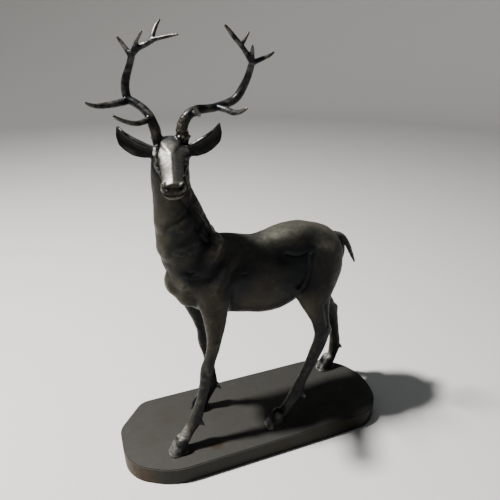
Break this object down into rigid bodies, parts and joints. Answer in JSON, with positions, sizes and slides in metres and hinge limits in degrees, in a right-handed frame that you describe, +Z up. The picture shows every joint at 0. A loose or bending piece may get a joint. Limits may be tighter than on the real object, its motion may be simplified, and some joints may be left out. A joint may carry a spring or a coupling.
{
  "type": "bronze stag statue",
  "caption": "Cast bronze stag in mid-stride with its head turned to its left, on a low plinth with canted, rounded corners.",
  "frame": {"origin": "middle of the plinth's underside, halfway along its length and its width", "axes": "+Z up, -X the way the stag walks, -Y the stag's left side, to which its head turns"},
  "size_m": [1.048, 0.394, 1.5082],
  "materials": {
    "stag_bronze": "near-black brown patina, satin, rubbed brighter on edges",
    "plinth_bronze": "dull grey-olive patina, fine pits and stains"
  },
  "bodies": {
    "root": {"stag": "stag_bronze", "plinth": "plinth_bronze"}
  },
  "joints": []
}
